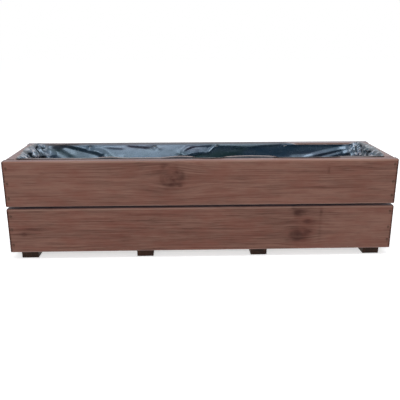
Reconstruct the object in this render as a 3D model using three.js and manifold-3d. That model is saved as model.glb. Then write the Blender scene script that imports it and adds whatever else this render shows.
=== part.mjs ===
// Timber window box planter, in millimetres, +Z up.
// X runs along the trough, the front faces -Y, and the origin is on the ground under its middle.
// Two tiers of rounded boards are nailed at the corners, tied by inner corner battens, stand on
// four runners, carry two loose base boards and hold a draped film liner.

import * as THREE from 'three';
import { mergeVertices } from 'three/addons/utils/BufferGeometryUtils.js';
import Module from 'manifold-3d';

const wasm = await Module();
wasm.setup();

// ---- boards ----
const troughLength = 1000; // front and back boards, end to end
const endBoardLength = 200; // end boards, between the front and back ones
const boardThick = 28;
const boardWide = 119; // face height of one tier
const boardArris = 5; // rounded long edges
const boardGap = 5; // open slot between the tiers
const tierNames = ['lower', 'upper'];

// ---- runners under the box ----
const footHigh = 19;
const footWide = 44;
const footSetback = 12; // behind the front and back faces
const footEndInset = 46; // outer runners' middle, from the trough's ends
const footCount = 4;
const footArris = 1;

// ---- loose base boards ----
const baseThick = 19;
const baseCount = 2;
const baseGap = 4; // drainage gap beside each board
const baseEndGap = 2;
const baseArris = 2;

// ---- corner battens ----
const battenWide = 38;
const battenThick = 18;
const battenArris = 1;
const battenFloorGap = 2; // above the base boards
const battenDrop = 30; // top end below the rim

// ---- nails through the board faces into the end grain ----
const nailShank = 3.4; // diameter
const nailHead = 5.5;
const nailHeadThick = 1.6;
const nailGrip = 37; // into the end grain
const nailPoint = 5;
const nailPunch = 0.6; // head below the face
const nailsPerEnd = 3;
const nailInset = 9; // from the trough's end
const nailLow = 22; // lowest nail above a board's lower edge
const nailHigh = 16; // uppermost nail below its upper edge
const nailWander = 3; // driven by hand, up to this far off the even places
const nailTurn = 2.4; // radians of wander from one nail to the next
const nailSides = 8;

// ---- countersunk screws ----
const screwShank = 4.4; // diameter
const screwHead = 8.8;
const screwHeadDeep = 2.8;
const screwPoint = 6;
const screwSunk = 0.8; // head below the face
const screwCrossLong = 4.6; // driver recess
const screwCrossWide = 1.1;
const screwCrossDeep = 1.8;
const screwBrim = 0.5; // straight edge of the head
const screwSides = 10;
const footScrewGrip = 41; // into the board above the runner
const battenScrewCover = 8; // timber left in front of the point

const fastenerFit = 0.35; // clearance all round a nail or screw
const drillRun = 4; // how far a drilling starts outside the face
const roundSteps = 5; // facets in a rounded board edge
const smallRoundSteps = 1;

// ---- liner film ----
const filmThick = 1.2;
const filmFit = 1.2; // clearance to the timber
const filmRimDrop = 2; // hem below the rim, at a pin
const filmFloorRound = 12; // sweep from wall to floor
const filmReach = 40; // film leaves a wall this far from a batten
const filmCornerPull = 10; // how close the hem goes into a corner
const filmStep = 41; // between points along a wall
const filmCornerSteps = 4;
const filmRims = [10]; // rings below the rim, over the battens
const filmRows = [46, 80, 135]; // rings below the rim, beside the battens
const drainHole = 9;
const drainPitch = 180;
const drainCount = 5;
const drainSides = 8;

// Hem between pins: it stands off the wall and sags.
const pinPitch = 206;
const pinShift = 48; // first pin right of the middle, on the back wall
const hemStandoff = 6;
const hemReach = 34; // the standoff dies out this far down
const hemSag = 6;
const endPinPitch = 100;
const foldStart = 22; // folds grow from nothing at the hem to full height this far down

// Main folds of the film. Places are [along, below the rim]; along is from the wall's middle, or from
// its corner where "corner" is set: -1 is the left or front one, +1 the right or back one.
const backFolds = [
  { corner: -1, from: [16, 4], to: [195, 42], high: 21, wide: 34 },
  { corner: -1, from: [195, 42], to: [320, 130], high: 26, wide: 46 },
  { corner: 1, from: [-27, 10], to: [-204, 44], high: 20, wide: 26 },
  { corner: 1, from: [-41, 26], to: [-190, 72], high: 21, wide: 28 },
  { corner: 1, from: [-204, 44], to: [-350, 120], high: 23, wide: 44 },
  { corner: 0, from: [48, 4], to: [-45, 44], high: 21, wide: 24 },
  { corner: 0, from: [48, 4], to: [20, 60], high: 23, wide: 22 },
  { corner: 0, from: [-45, 44], to: [-130, 120], high: 18, wide: 40 },
  { corner: 0, from: [254, 8], to: [230, 90], high: 12, wide: 34 },
];
const frontFolds = [
  { corner: -1, from: [20, 6], to: [150, 110], high: 23, wide: 36 },
  { corner: 1, from: [-20, 6], to: [-170, 120], high: 22, wide: 38 },
  { corner: 0, from: [-160, 8], to: [-110, 120], high: 18, wide: 34 },
  { corner: 0, from: [20, 8], to: [90, 110], high: 20, wide: 36 },
];
const leftFolds = [
  { corner: 0, from: [0, 4], to: [36, 40], high: 17, wide: 20 },
  { corner: 0, from: [-40, 6], to: [-30, 110], high: 16, wide: 20 },
  { corner: 0, from: [30, 30], to: [20, 150], high: 18, wide: 26 },
];
const rightFolds = [
  { corner: 0, from: [-34, 5], to: [-24, 110], high: 17, wide: 18 },
  { corner: 0, from: [6, 4], to: [0, 80], high: 16, wide: 16 },
  { corner: 0, from: [44, 5], to: [36, 120], high: 18, wide: 20 },
];

// ---- places that follow from the sizes above ----
const { clamp, lerp, smoothstep } = THREE.MathUtils;
const half = 0.5;
const ends = [-1, 1];
const halfLength = troughLength * half;
const innerHalfLength = halfLength - boardThick;
const innerHalfDepth = endBoardLength * half;
const halfDepth = innerHalfDepth + boardThick;
const tierRise = boardWide + boardGap;
const rim = footHigh + tierRise * (tierNames.length - 1) + boardWide;
const baseTop = footHigh + baseThick;
const battenFoot = baseTop + battenFloorGap;
const battenTop = rim - battenDrop;
const battenMidX = innerHalfLength - battenWide * half;
const battenMidY = innerHalfDepth - battenThick * half;
const footLength = (halfDepth - footSetback) * 2;
const footPitch = (troughLength - footEndInset * 2) / (footCount - 1);
const baseWide = (endBoardLength - baseGap * (baseCount + 1)) / baseCount;
const nailLength = boardThick + nailGrip;
const footScrewLength = footHigh + footScrewGrip;
const footScrewY = (footLength * half + innerHalfDepth) * half;
const battenScrewLength = battenThick + boardThick - battenScrewCover;
const tierFoot = (tier) => footHigh + tier * tierRise;

// ---- colours and finishes ----
const stainedTimber = { color: 0x73523f, roughness: 0.62, metalness: 0 };
const darkTimber = { color: 0x4b2f22, roughness: 0.75, metalness: 0 };
const baseTimber = { color: 0x6b4a3a, roughness: 0.8, metalness: 0 };
const filmPlastic = { color: 0x252d34, roughness: 0.32, metalness: 0 };
const nailSteel = { color: 0x35302d, roughness: 0.55, metalness: 0.8 };
const screwSteel = { color: 0x9a8a5c, roughness: 0.4, metalness: 0.9 };

const planter = new THREE.Group();

function place(name, geometry, finish) {
  const mesh = new THREE.Mesh(geometry, new THREE.MeshStandardMaterial(finish));
  mesh.name = name;
  planter.add(mesh);
  return mesh;
}

// ---- solids: joining and cutting ----

// Drops triangles that shrank to a line when the shared corners were merged.
function wholeTriangles(index) {
  const kept = [];
  for (let i = 0; i < index.length; i += 3) {
    const [a, b, c] = index.slice(i, i + 3);
    if (a !== b && b !== c && c !== a) kept.push(a, b, c);
  }
  return kept;
}

function toSolid(geometry) {
  const bare = geometry.clone();
  bare.deleteAttribute('normal');
  bare.deleteAttribute('uv');
  const merged = mergeVertices(bare);
  return new wasm.Manifold(new wasm.Mesh({
    numProp: 3,
    vertProperties: new Float32Array(merged.attributes.position.array),
    triVerts: new Uint32Array(wholeTriangles(merged.index.array)),
  }));
}

function toGeometry(solid) {
  const mesh = solid.getMesh();
  const geometry = new THREE.BufferGeometry();
  geometry.setAttribute('position', new THREE.BufferAttribute(mesh.vertProperties, 3));
  geometry.setIndex(new THREE.BufferAttribute(mesh.triVerts, 1));
  geometry.computeVertexNormals();
  return geometry;
}

function cutAway(geometry, cutters) {
  const cut = cutters.reduce((body, cutter) => body.subtract(toSolid(cutter)), toSolid(geometry));
  return toGeometry(cut);
}

// Moves every point through one exchange of axes, so that right angles stay exact.
function remap(geometry, exchange) {
  const place = geometry.attributes.position;
  for (let i = 0; i < place.count; i += 1) {
    place.setXYZ(i, ...exchange(place.getX(i), place.getY(i), place.getZ(i)));
  }
  return geometry;
}

// A rectangle a by b about the middle, with its corners rounded.
function roundedRect(a, b, radius) {
  const x = a * half;
  const y = b * half;
  const shape = new THREE.Shape();
  shape.moveTo(x, radius - y);
  shape.lineTo(x, y - radius);
  shape.absarc(x - radius, y - radius, radius, 0, Math.PI * half);
  shape.absarc(radius - x, y - radius, radius, Math.PI * half, Math.PI);
  shape.absarc(radius - x, radius - y, radius, Math.PI, Math.PI * (1 + half));
  shape.absarc(x - radius, radius - y, radius, Math.PI * (1 + half), Math.PI * 2);
  return shape;
}

// A bar with rounded long edges, centred on its length along the third axis.
function bar(a, b, length, radius, steps) {
  const section = roundedRect(a, b, radius);
  const settings = { depth: length, bevelEnabled: false, curveSegments: steps };
  return new THREE.ExtrudeGeometry(section, settings).translate(0, 0, -length * half);
}

const alongX = (a, b, c) => [c, a, b];
const alongY = (a, b, c) => [b, c, a];

// ---- fasteners: turned about their length, head at zero, point at +Y ----

// A closed turned profile; grow widens it all round, and run lifts the head's face outwards.
function turned(profile, sides) {
  const points = profile.map(([radius, y]) => new THREE.Vector2(radius, y));
  return new THREE.LatheGeometry(points, sides);
}

function nailShape(grow, run) {
  const shank = nailShank * half + grow;
  const head = nailHead * half + grow;
  return turned([
    [0, -run],
    [head, -run],
    [head, nailHeadThick + grow],
    [shank, nailHeadThick + grow],
    [shank, nailLength - nailPoint],
    [0, nailLength + grow],
  ], nailSides);
}

function screwShape(length, grow, run) {
  const shank = screwShank * half + grow;
  const head = screwHead * half + grow;
  return turned([
    [0, -run],
    [head, -run],
    [head, screwBrim],
    [shank, screwHeadDeep + grow],
    [shank, length - screwPoint],
    [0, length + grow],
  ], screwSides);
}

function screwSolid(length) {
  const slots = ends.map((turn) => {
    const [a, b] = turn > 0 ? [screwCrossLong, screwCrossWide] : [screwCrossWide, screwCrossLong];
    return new THREE.BoxGeometry(a, screwCrossDeep * 2, b);
  });
  return cutAway(screwShape(length, 0, 0), slots);
}

// A nail or screw across the boards: facing is -1 with its head to the front, +1 to the back.
function acrossY(geometry, facing, x, y, z) {
  if (facing > 0) remap(geometry, (a, b, c) => [-a, -b, c]);
  return geometry.translate(x, y, z);
}

// A screw standing up from below.
function upZ(geometry, x, y, z) {
  return remap(geometry, (a, b, c) => [c, a, b]).translate(x, y, z);
}

// ---- where the fasteners go ----

function nailPlaces() {
  const places = [];
  const pitch = (boardWide - nailLow - nailHigh) / (nailsPerEnd - 1);
  for (const facing of ends) {
    for (const end of ends) {
      tierNames.forEach((tierName, tier) => {
        for (let i = 0; i < nailsPerEnd; i += 1) {
          const wander = nailWander * Math.sin(places.length * nailTurn);
          places.push({
            name: `nail_${sideName(facing)}_${endName(end)}_${tierName}_${i + 1}`,
            facing,
            end,
            tier,
            x: end * (halfLength - nailInset),
            y: facing * (halfDepth - nailPunch),
            z: tierFoot(tier) + nailLow + pitch * i + wander,
          });
        }
      });
    }
  }
  return places;
}

function footScrewPlaces() {
  const places = [];
  footPlaces().forEach((x, foot) => {
    for (const facing of ends) {
      places.push({
        name: `foot_screw_${foot + 1}_${sideName(facing)}`,
        foot,
        facing,
        x,
        y: facing * footScrewY,
        z: screwSunk,
      });
    }
  });
  return places;
}

function battenScrewPlaces() {
  const places = [];
  for (const facing of ends) {
    for (const end of ends) {
      tierNames.forEach((tierName, tier) => {
        const low = Math.max(tierFoot(tier), battenFoot);
        const high = Math.min(tierFoot(tier) + boardWide, battenTop);
        places.push({
          name: `batten_screw_${sideName(facing)}_${endName(end)}_${tierName}`,
          facing,
          end,
          tier,
          x: end * battenMidX,
          y: facing * (innerHalfDepth - battenThick + screwSunk),
          z: (low + high) * half,
        });
      });
    }
  }
  return places;
}

function footPlaces() {
  const places = [];
  for (let i = 0; i < footCount; i += 1) {
    places.push((i - (footCount - 1) * half) * footPitch);
  }
  return places;
}

function sideName(facing) {
  return facing < 0 ? 'front' : 'back';
}

function endName(end) {
  return end < 0 ? 'left' : 'right';
}

const nails = nailPlaces();
const footScrews = footScrewPlaces();
const battenScrews = battenScrewPlaces();

const nailHole = (n) => acrossY(nailShape(fastenerFit, drillRun), n.facing, n.x, n.y, n.z);
const footScrewHole = (s) => upZ(screwShape(footScrewLength, fastenerFit, drillRun), s.x, s.y, s.z);
const battenScrewHole = (s) => {
  const hole = screwShape(battenScrewLength, fastenerFit, drillRun);
  return acrossY(hole, -s.facing, s.x, s.y, s.z);
};

// ---- boards ----

function longBoards() {
  for (const facing of ends) {
    tierNames.forEach((tierName, tier) => {
      const board = remap(bar(boardThick, boardWide, troughLength, boardArris, roundSteps), alongX);
      board.translate(0, facing * (halfDepth - boardThick * half), tierFoot(tier) + boardWide * half);
      const holes = nails.filter((n) => n.facing === facing && n.tier === tier).map(nailHole);
      holes.push(...battenScrews.filter((s) => s.facing === facing && s.tier === tier).map(battenScrewHole));
      if (tier === 0) holes.push(...footScrews.filter((s) => s.facing === facing).map(footScrewHole));
      place(`${sideName(facing)}_${tierName}_board`, cutAway(board, holes), stainedTimber);
    });
  }
}

function endBoards() {
  for (const end of ends) {
    tierNames.forEach((tierName, tier) => {
      const board = remap(bar(boardWide, boardThick, endBoardLength, boardArris, roundSteps), alongY);
      board.translate(end * (halfLength - boardThick * half), 0, tierFoot(tier) + boardWide * half);
      const holes = nails.filter((n) => n.end === end && n.tier === tier).map(nailHole);
      place(`${endName(end)}_${tierName}_end_board`, cutAway(board, holes), stainedTimber);
    });
  }
}

// ---- base, feet and battens ----

function baseBoards() {
  const length = (innerHalfLength - baseEndGap) * 2;
  for (let i = 0; i < baseCount; i += 1) {
    const board = remap(bar(baseWide, baseThick, length, baseArris, smallRoundSteps), alongX);
    const y = baseGap + baseWide * half + (baseGap + baseWide) * i - innerHalfDepth;
    board.translate(0, y, footHigh + baseThick * half);
    place(`base_board_${i + 1}`, board, baseTimber);
  }
}

function feet() {
  footPlaces().forEach((x, foot) => {
    const runner = remap(bar(footHigh, footWide, footLength, footArris, smallRoundSteps), alongY);
    runner.translate(x, 0, footHigh * half);
    const holes = footScrews.filter((s) => s.foot === foot).map(footScrewHole);
    place(`foot_runner_${foot + 1}`, cutAway(runner, holes), darkTimber);
  });
}

function cornerBattens() {
  for (const facing of ends) {
    for (const end of ends) {
      const length = battenTop - battenFoot;
      const batten = bar(battenWide, battenThick, length, battenArris, smallRoundSteps);
      batten.translate(end * battenMidX, facing * battenMidY, battenFoot + length * half);
      const holes = battenScrews.filter((s) => s.facing === facing && s.end === end);
      const name = `corner_batten_${sideName(facing)}_${endName(end)}`;
      place(name, cutAway(batten, holes.map(battenScrewHole)), baseTimber);
    }
  }
}

function fasteners() {
  for (const n of nails) {
    place(n.name, acrossY(nailShape(0, 0), n.facing, n.x, n.y, n.z), nailSteel);
  }
  for (const s of footScrews) {
    place(s.name, upZ(screwSolid(footScrewLength), s.x, s.y, s.z), screwSteel);
  }
  for (const s of battenScrews) {
    place(s.name, acrossY(screwSolid(battenScrewLength), -s.facing, s.x, s.y, s.z), screwSteel);
  }
}

// ---- liner ----

const wallX = innerHalfLength - filmFit;
const wallY = innerHalfDepth - filmFit;
const filmFloor = baseTop + filmFit;
const filmOverBatten = battenDrop - filmFit; // below the rim, just over the battens' ends
const medialX = Math.max(0, wallX - wallY);

// The film turns each corner on a curve through three points: where it leaves the long wall, the
// batten's inner edge, and where it meets the end wall. At the hem the curve is drawn into the corner.
function cornerCurve(below) {
  const edgeX = innerHalfLength - battenWide - filmFit * 2;
  const edgeY = innerHalfDepth - battenThick - filmFit * 2;
  const over = Math.min(1, below / filmOverBatten);
  const hem = [
    [wallX - filmCornerPull * 2, wallY],
    [wallX - filmCornerPull * half, wallY - filmCornerPull * half],
    [wallX, wallY - filmCornerPull * 2],
  ];
  const low = [
    [edgeX - filmReach, wallY],
    [edgeX, edgeY],
    [wallX, edgeY - filmReach * half],
  ];
  return hem.map((point, i) => point.map((value, axis) => lerp(value, low[i][axis], over)));
}

// Point at t, 0 to 1, on a bent line through a, b and c.
function onBend([a, b, c], t) {
  const [from, to, share] = t < half ? [a, b, t * 2] : [b, c, t * 2 - 1];
  return from.map((value, axis) => lerp(value, to[axis], share));
}

// Distance from a point to a fold's line.
function nearFold(fold, shift, along, below) {
  const [ax, ay] = [fold.from[0] + shift, fold.from[1]];
  const [bx, by] = [fold.to[0] + shift, fold.to[1]];
  const [dx, dy] = [bx - ax, by - ay];
  const t = clamp(((along - ax) * dx + (below - ay) * dy) / (dx * dx + dy * dy), 0, 1);
  return Math.hypot(along - ax - dx * t, below - ay - dy * t);
}

// How far the folds of one wall lift the film off it.
function foldLift(folds, halfWall, along, below) {
  const lifts = folds.map((fold) => {
    const distance = nearFold(fold, fold.corner * halfWall, along, below);
    return fold.high * smoothstep(fold.wide - distance, 0, fold.wide);
  });
  return Math.max(...lifts) * Math.min(1, below / foldStart);
}

// Share of the sag between two pins: 0 at a pin, 1 half way to the next.
function betweenPins(along, pitch, shift) {
  return Math.abs(Math.sin(((along - shift) * Math.PI) / pitch));
}

// One wall's points on the ring at a given drop below the rim, in the order of the ring.
function wallPoints(wall, below) {
  const [start, , finish] = cornerCurve(below);
  const reach = wall.long ? start[0] : finish[1];
  const count = Math.round((wall.long ? wallX : wallY) * 2 / filmStep);
  const points = [];
  for (let i = 0; i <= count; i += 1) {
    const along = wall.run * (i / count * 2 - 1) * reach;
    const [x, y] = wall.long ? [along, wall.side * wallY] : [wall.side * wallX, along];
    points.push({ x, y, along, wall });
  }
  return points;
}

// A corner's points between two walls, without the walls' own end points.
function cornerPoints(sideX, sideY, fromLong, below) {
  const curve = cornerCurve(below);
  const points = [];
  for (let i = 1; i < filmCornerSteps; i += 1) {
    const t = i / filmCornerSteps;
    const [x, y] = onBend(curve, fromLong ? t : 1 - t);
    points.push({ x: x * sideX, y: y * sideY });
  }
  return points;
}

const frontWall = { long: true, side: -1, run: 1, folds: frontFolds, pitch: pinPitch, shift: 0 };
const rightWall = { long: false, side: 1, run: 1, folds: rightFolds, pitch: endPinPitch, shift: 0 };
const backWall = { long: true, side: 1, run: -1, folds: backFolds, pitch: pinPitch, shift: pinShift };
const leftWall = { long: false, side: -1, run: -1, folds: leftFolds, pitch: endPinPitch, shift: 0 };

// The whole ring, counterclockwise seen from above, starting on the front wall.
function ringPoints(below) {
  return [
    ...wallPoints(frontWall, below),
    ...cornerPoints(1, -1, true, below),
    ...wallPoints(rightWall, below),
    ...cornerPoints(1, 1, false, below),
    ...wallPoints(backWall, below),
    ...cornerPoints(-1, 1, true, below),
    ...wallPoints(leftWall, below),
    ...cornerPoints(-1, -1, false, below),
  ];
}

// Direction from a point of the ring towards the trough's middle line.
function inward(point) {
  const toX = clamp(point.x, -medialX, medialX) - point.x;
  const away = Math.hypot(toX, point.y);
  return [toX / away, -point.y / away];
}

// A ring of the film as [x, y, z]: its folds lift it off the wall, and extra moves all of it in.
function foldedRing(below, extra, sag) {
  return ringPoints(below).map((point) => {
    let lift = extra;
    let drop = below;
    if (point.wall) {
      const { folds, long, pitch, shift } = point.wall;
      const slack = betweenPins(point.along, pitch, shift);
      lift += foldLift(folds, long ? wallX : wallY, point.along, below);
      lift += hemStandoff * slack * Math.max(0, 1 - below / hemReach);
      drop += sag * slack;
    }
    const [nx, ny] = inward(point);
    return [point.x + nx * lift, point.y + ny * lift, rim - drop];
  });
}

// A ring without folds, where the film meets the base boards.
function plainRing(height, extra) {
  return ringPoints(rim - height).map((point) => {
    const [nx, ny] = inward(point);
    return [point.x + nx * extra, point.y + ny * extra, height];
  });
}

// The film's rings from hem to floor, on its outer face (depth 0) or its inner one (depth filmThick).
function filmRings(depth) {
  const knee = filmFloor + filmFloorRound;
  const rows = [...filmRims.filter((row) => row < filmOverBatten), filmOverBatten];
  rows.push(...filmRows.filter((row) => row > filmOverBatten && row < rim - knee));
  return [
    foldedRing(filmRimDrop, depth, hemSag),
    ...rows.map((row) => foldedRing(row, depth, 0)),
    plainRing(knee, depth),
    plainRing(filmFloor + depth, depth + filmFloorRound),
  ];
}

function skin(rings, index, first, flip) {
  const count = rings[0].length;
  const face = (a, b, c) => index.push(...(flip ? [c, b, a] : [a, b, c]));
  for (let r = 0; r < rings.length - 1; r += 1) {
    for (let i = 0; i < count; i += 1) {
      const next = (i + 1) % count;
      const [up, low] = [first + r * count, first + (r + 1) * count];
      face(low + i, low + next, up + next);
      face(low + i, up + next, up + i);
    }
  }
  const bottom = rings[rings.length - 1].map(([x, y]) => new THREE.Vector2(x, y));
  const start = first + (rings.length - 1) * count;
  for (const [a, b, c] of THREE.ShapeUtils.triangulateShape(bottom, [])) {
    face(start + c, start + b, start + a);
  }
}

function liner() {
  const outer = filmRings(0);
  const inner = filmRings(filmThick);
  const count = outer[0].length;
  const shift = outer.length * count;
  const index = [];
  skin(outer, index, 0, false);
  skin(inner, index, shift, true);
  for (let i = 0; i < count; i += 1) {
    const next = (i + 1) % count;
    index.push(i, next, shift + next, i, shift + next, shift + i);
  }
  const film = new THREE.BufferGeometry();
  film.setAttribute('position', new THREE.Float32BufferAttribute([outer, inner].flat(3), 3));
  film.setIndex(index);
  place('liner', cutAway(film, drainCutters()), filmPlastic);
}

// Drain holes along the middle, over the gap between the base boards.
function drainCutters() {
  const cutters = [];
  for (let i = 0; i < drainCount; i += 1) {
    const x = (i - (drainCount - 1) * half) * drainPitch;
    const cutter = new THREE.CylinderGeometry(drainHole * half, drainHole * half, filmThick * 3, drainSides);
    remap(cutter, (a, b, c) => [c, a, b]);
    cutters.push(cutter.translate(x, 0, filmFloor + filmThick * half));
  }
  return cutters;
}

longBoards();
endBoards();
baseBoards();
feet();
cornerBattens();
fasteners();
liner();

export default planter;
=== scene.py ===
import math
import bmesh
import bpy
import numpy as np
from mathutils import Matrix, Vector


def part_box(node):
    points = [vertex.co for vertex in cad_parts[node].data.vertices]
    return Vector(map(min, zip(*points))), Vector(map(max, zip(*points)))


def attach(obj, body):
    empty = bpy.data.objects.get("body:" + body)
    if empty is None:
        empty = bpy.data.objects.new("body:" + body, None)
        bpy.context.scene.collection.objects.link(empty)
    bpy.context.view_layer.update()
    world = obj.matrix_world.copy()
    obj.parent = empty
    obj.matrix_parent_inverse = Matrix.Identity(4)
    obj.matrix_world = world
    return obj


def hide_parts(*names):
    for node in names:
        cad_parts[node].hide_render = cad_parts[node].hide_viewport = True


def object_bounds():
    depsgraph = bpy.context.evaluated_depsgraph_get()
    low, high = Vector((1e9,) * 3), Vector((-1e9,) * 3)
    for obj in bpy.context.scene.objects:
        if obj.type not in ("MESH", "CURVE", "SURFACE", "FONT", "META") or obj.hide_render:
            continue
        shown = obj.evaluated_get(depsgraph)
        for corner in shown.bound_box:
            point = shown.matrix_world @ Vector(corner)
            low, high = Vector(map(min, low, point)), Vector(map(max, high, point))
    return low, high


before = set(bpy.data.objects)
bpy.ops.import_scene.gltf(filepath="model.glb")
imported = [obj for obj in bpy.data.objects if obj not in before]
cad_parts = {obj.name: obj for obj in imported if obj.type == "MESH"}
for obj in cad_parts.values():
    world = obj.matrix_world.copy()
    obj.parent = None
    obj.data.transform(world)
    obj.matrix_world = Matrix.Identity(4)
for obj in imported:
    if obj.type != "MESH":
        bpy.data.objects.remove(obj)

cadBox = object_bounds()
mm = 0.001
rimTop = cadBox[1][2] / mm  # the boards' upper edges


# A fixed random number, 0 to 1, for each whole-number corner of a grid.
def cornerNumber(ix, iy, iz, seed):
    h = ix.astype(np.uint32) * np.uint32(374761393)
    h += iy.astype(np.uint32) * np.uint32(668265263)
    h += iz.astype(np.uint32) * np.uint32(2246822519)
    h += np.uint32((seed * 3266489917) & 0xFFFFFFFF)
    h = (h ^ (h >> np.uint32(13))) * np.uint32(1274126177)
    h ^= h >> np.uint32(16)
    return h.astype(float) / 4294967295.0


# Soft noise, -1 to 1: the corner numbers of a unit grid, blended smoothly between corners.
def softNoise(x, y, z, seed):
    x, y, z = np.broadcast_arrays(x, y, z)
    base = [np.floor(v).astype(np.int64) for v in (x, y, z)]
    part = [v - b for v, b in zip((x, y, z), base)]
    part = [p * p * (3 - 2 * p) for p in part]
    total = np.zeros(x.shape)
    for dx in (0, 1):
        for dy in (0, 1):
            for dz in (0, 1):
                weight = (part[0] if dx else 1 - part[0]) * (part[1] if dy else 1 - part[1])
                weight = weight * (part[2] if dz else 1 - part[2])
                total += weight * cornerNumber(base[0] + dx, base[1] + dy, base[2] + dz, seed)
    return total * 2 - 1


def smoothStep(low, high, value):
    t = np.clip((value - low) / (high - low), 0, 1)
    return t * t * (3 - 2 * t)


def editMesh(mesh, change):
    work = bmesh.new()
    work.from_mesh(mesh)
    change(work)
    work.to_mesh(mesh)
    work.free()


def weldEnds(work):
    bmesh.ops.remove_doubles(work, verts=work.verts, dist=2e-6)
    bmesh.ops.dissolve_degenerate(work, edges=work.edges, dist=1e-7)


# Makes every closed shell's faces point out.
def turnOut(work):
    bmesh.ops.recalc_face_normals(work, faces=work.faces)


# Sharp edges over this angle stay sharp, the rest is shaded smooth.
def keepCorners(mesh, degrees):
    mesh.set_sharp_from_angle(angle=math.radians(degrees))


# Rows by columns of points become a mesh of quads, and the last column joins the first. A first
# or last row that falls on itself is welded, so the ends close. With one more dimension in
# front, each entry there is a shell of its own.
def gridMesh(name, points, attributes=None):
    rows, columns = points.shape[-3:-1]
    left = np.arange(points.size // 3).reshape(-1, rows, columns)
    right = np.roll(left, -1, axis=2)
    quads = np.stack([left[:, :-1], right[:, :-1], right[:, 1:], left[:, 1:]], axis=-1).reshape(-1, 4)
    mesh = bpy.data.meshes.new(name)
    mesh.vertices.add(left.size)
    mesh.vertices.foreach_set("co", points.reshape(-1).astype(np.float32))
    mesh.loops.add(quads.size)
    mesh.loops.foreach_set("vertex_index", quads.reshape(-1).astype(np.int32))
    mesh.polygons.add(len(quads))
    mesh.polygons.foreach_set("loop_start", np.arange(0, quads.size, 4, dtype=np.int32))
    mesh.polygons.foreach_set("use_smooth", np.ones(len(quads), dtype=bool))
    for key, values in (attributes or {}).items():
        isVector = values.ndim == points.ndim
        layer = mesh.attributes.new(key, "FLOAT_VECTOR" if isVector else "FLOAT", "POINT")
        layer.data.foreach_set("vector" if isVector else "value", values.reshape(-1).astype(np.float32))
    mesh.update(calc_edges=True)
    editMesh(mesh, weldEnds)
    mesh.validate()
    return mesh


def addPiece(name, mesh, material, replaced=()):
    piece = bpy.data.objects.new(name, mesh)
    bpy.context.scene.collection.objects.link(piece)
    mesh.materials.append(material)
    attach(piece, "root")
    if replaced:
        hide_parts(*replaced)
    return piece


# Adds a node, makes its settings, and feeds its inputs with numbers, colours or Values.
def add(tree, kind, inputs=None, **settings):
    node = tree.nodes.new("ShaderNode" + kind)
    for key, value in settings.items():
        setattr(node, key, value)
    feed(node, inputs or {})
    return node


def feed(node, inputs):
    for key, value in inputs.items():
        if isinstance(value, Value):
            node.id_data.links.new(value.socket, node.inputs[key])
        else:
            node.inputs[key].default_value = value


# A shader socket to reckon with: what is done to it adds nodes to its own tree.
class Value:
    def __init__(self, socket):
        self.socket, self.tree = socket, socket.id_data

    def calc(self, operation, other=0.0):
        return Value(add(self.tree, "Math", {0: self, 1: other}, operation=operation).outputs[0])

    def __add__(self, other):
        return self.calc("ADD", other)

    def __sub__(self, other):
        return self.calc("SUBTRACT", other)

    def __mul__(self, other):
        return self.calc("MULTIPLY", other)

    def spread(self, low, high, toLow=0.0, toHigh=1.0):
        inputs = {"Value": self, "From Min": low, "From Max": high, "To Min": toLow, "To Max": toHigh}
        return Value(add(self.tree, "MapRange", inputs).outputs[0])

    # the first colour where this is 0, the second where it is 1
    def mix(self, first, second):
        return mixColors(self.tree, self, first, second)

    # noise, 0 to 1, on this vector, which is stretched by scale and shifted first
    def cloud(self, size=1.0, detail=2.0, rough=0.5, distortion=0.0, scale=None, shift=(0, 0, 0)):
        place = self
        if scale:
            mapping = add(self.tree, "Mapping", {"Vector": self, "Scale": scale, "Location": shift})
            place = Value(mapping.outputs[0])
        inputs = {"Vector": place, "Scale": size, "Detail": detail, "Roughness": rough}
        return Value(add(self.tree, "TexNoise", {**inputs, "Distortion": distortion}).outputs[0])

    def separate(self):
        return [Value(socket) for socket in add(self.tree, "SeparateXYZ", {0: self}).outputs]


def mixColors(tree, factor, first, second):
    return Value(add(tree, "Mix", {0: factor, 6: first, 7: second}, data_type="RGBA").outputs[2])


def attribute(tree, name, kind="Float"):
    node = add(tree, "Attribute", attribute_name=name)
    return Value(node.outputs["Vector" if kind == "Vector" else "Fac"])


def bumps(height, strength, distance):
    inputs = {"Strength": strength, "Distance": distance, "Height": height}
    return Value(add(height.tree, "Bump", inputs).outputs[0])


# A screen colour, 0 to 255, as the linear colour that Blender wants.
def screen(red, green, blue):
    parts = [c / 255 for c in (red, green, blue)]
    return tuple(c / 12.92 if c <= 0.04045 else ((c + 0.055) / 1.055) ** 2.4 for c in parts) + (1.0,)


def newMaterial(name):
    material = bpy.data.materials.new(name)
    material.use_nodes = True
    return material, material.node_tree, material.node_tree.nodes["Principled BSDF"]


view = {
    "place": (-0.0509, -1.4025, 0.5456),  # from the fit to the photo's outline
    "lookDown": 16.89,  # degrees
    "lookRight": 2.0,
    "focal": 46.78,  # mm on a 36 mm wide sensor
}


def makeCamera():
    data = bpy.data.cameras.new("viewCamera")
    data.lens = view["focal"]
    data.sensor_width = 36.0
    data.clip_end = 50.0
    camera = bpy.data.objects.new("viewCamera", data)
    camera.location = view["place"]
    camera.rotation_euler = (math.radians(90 - view["lookDown"]), 0, math.radians(-view["lookRight"]))
    bpy.context.scene.collection.objects.link(camera)
    bpy.context.scene.camera = camera


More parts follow.
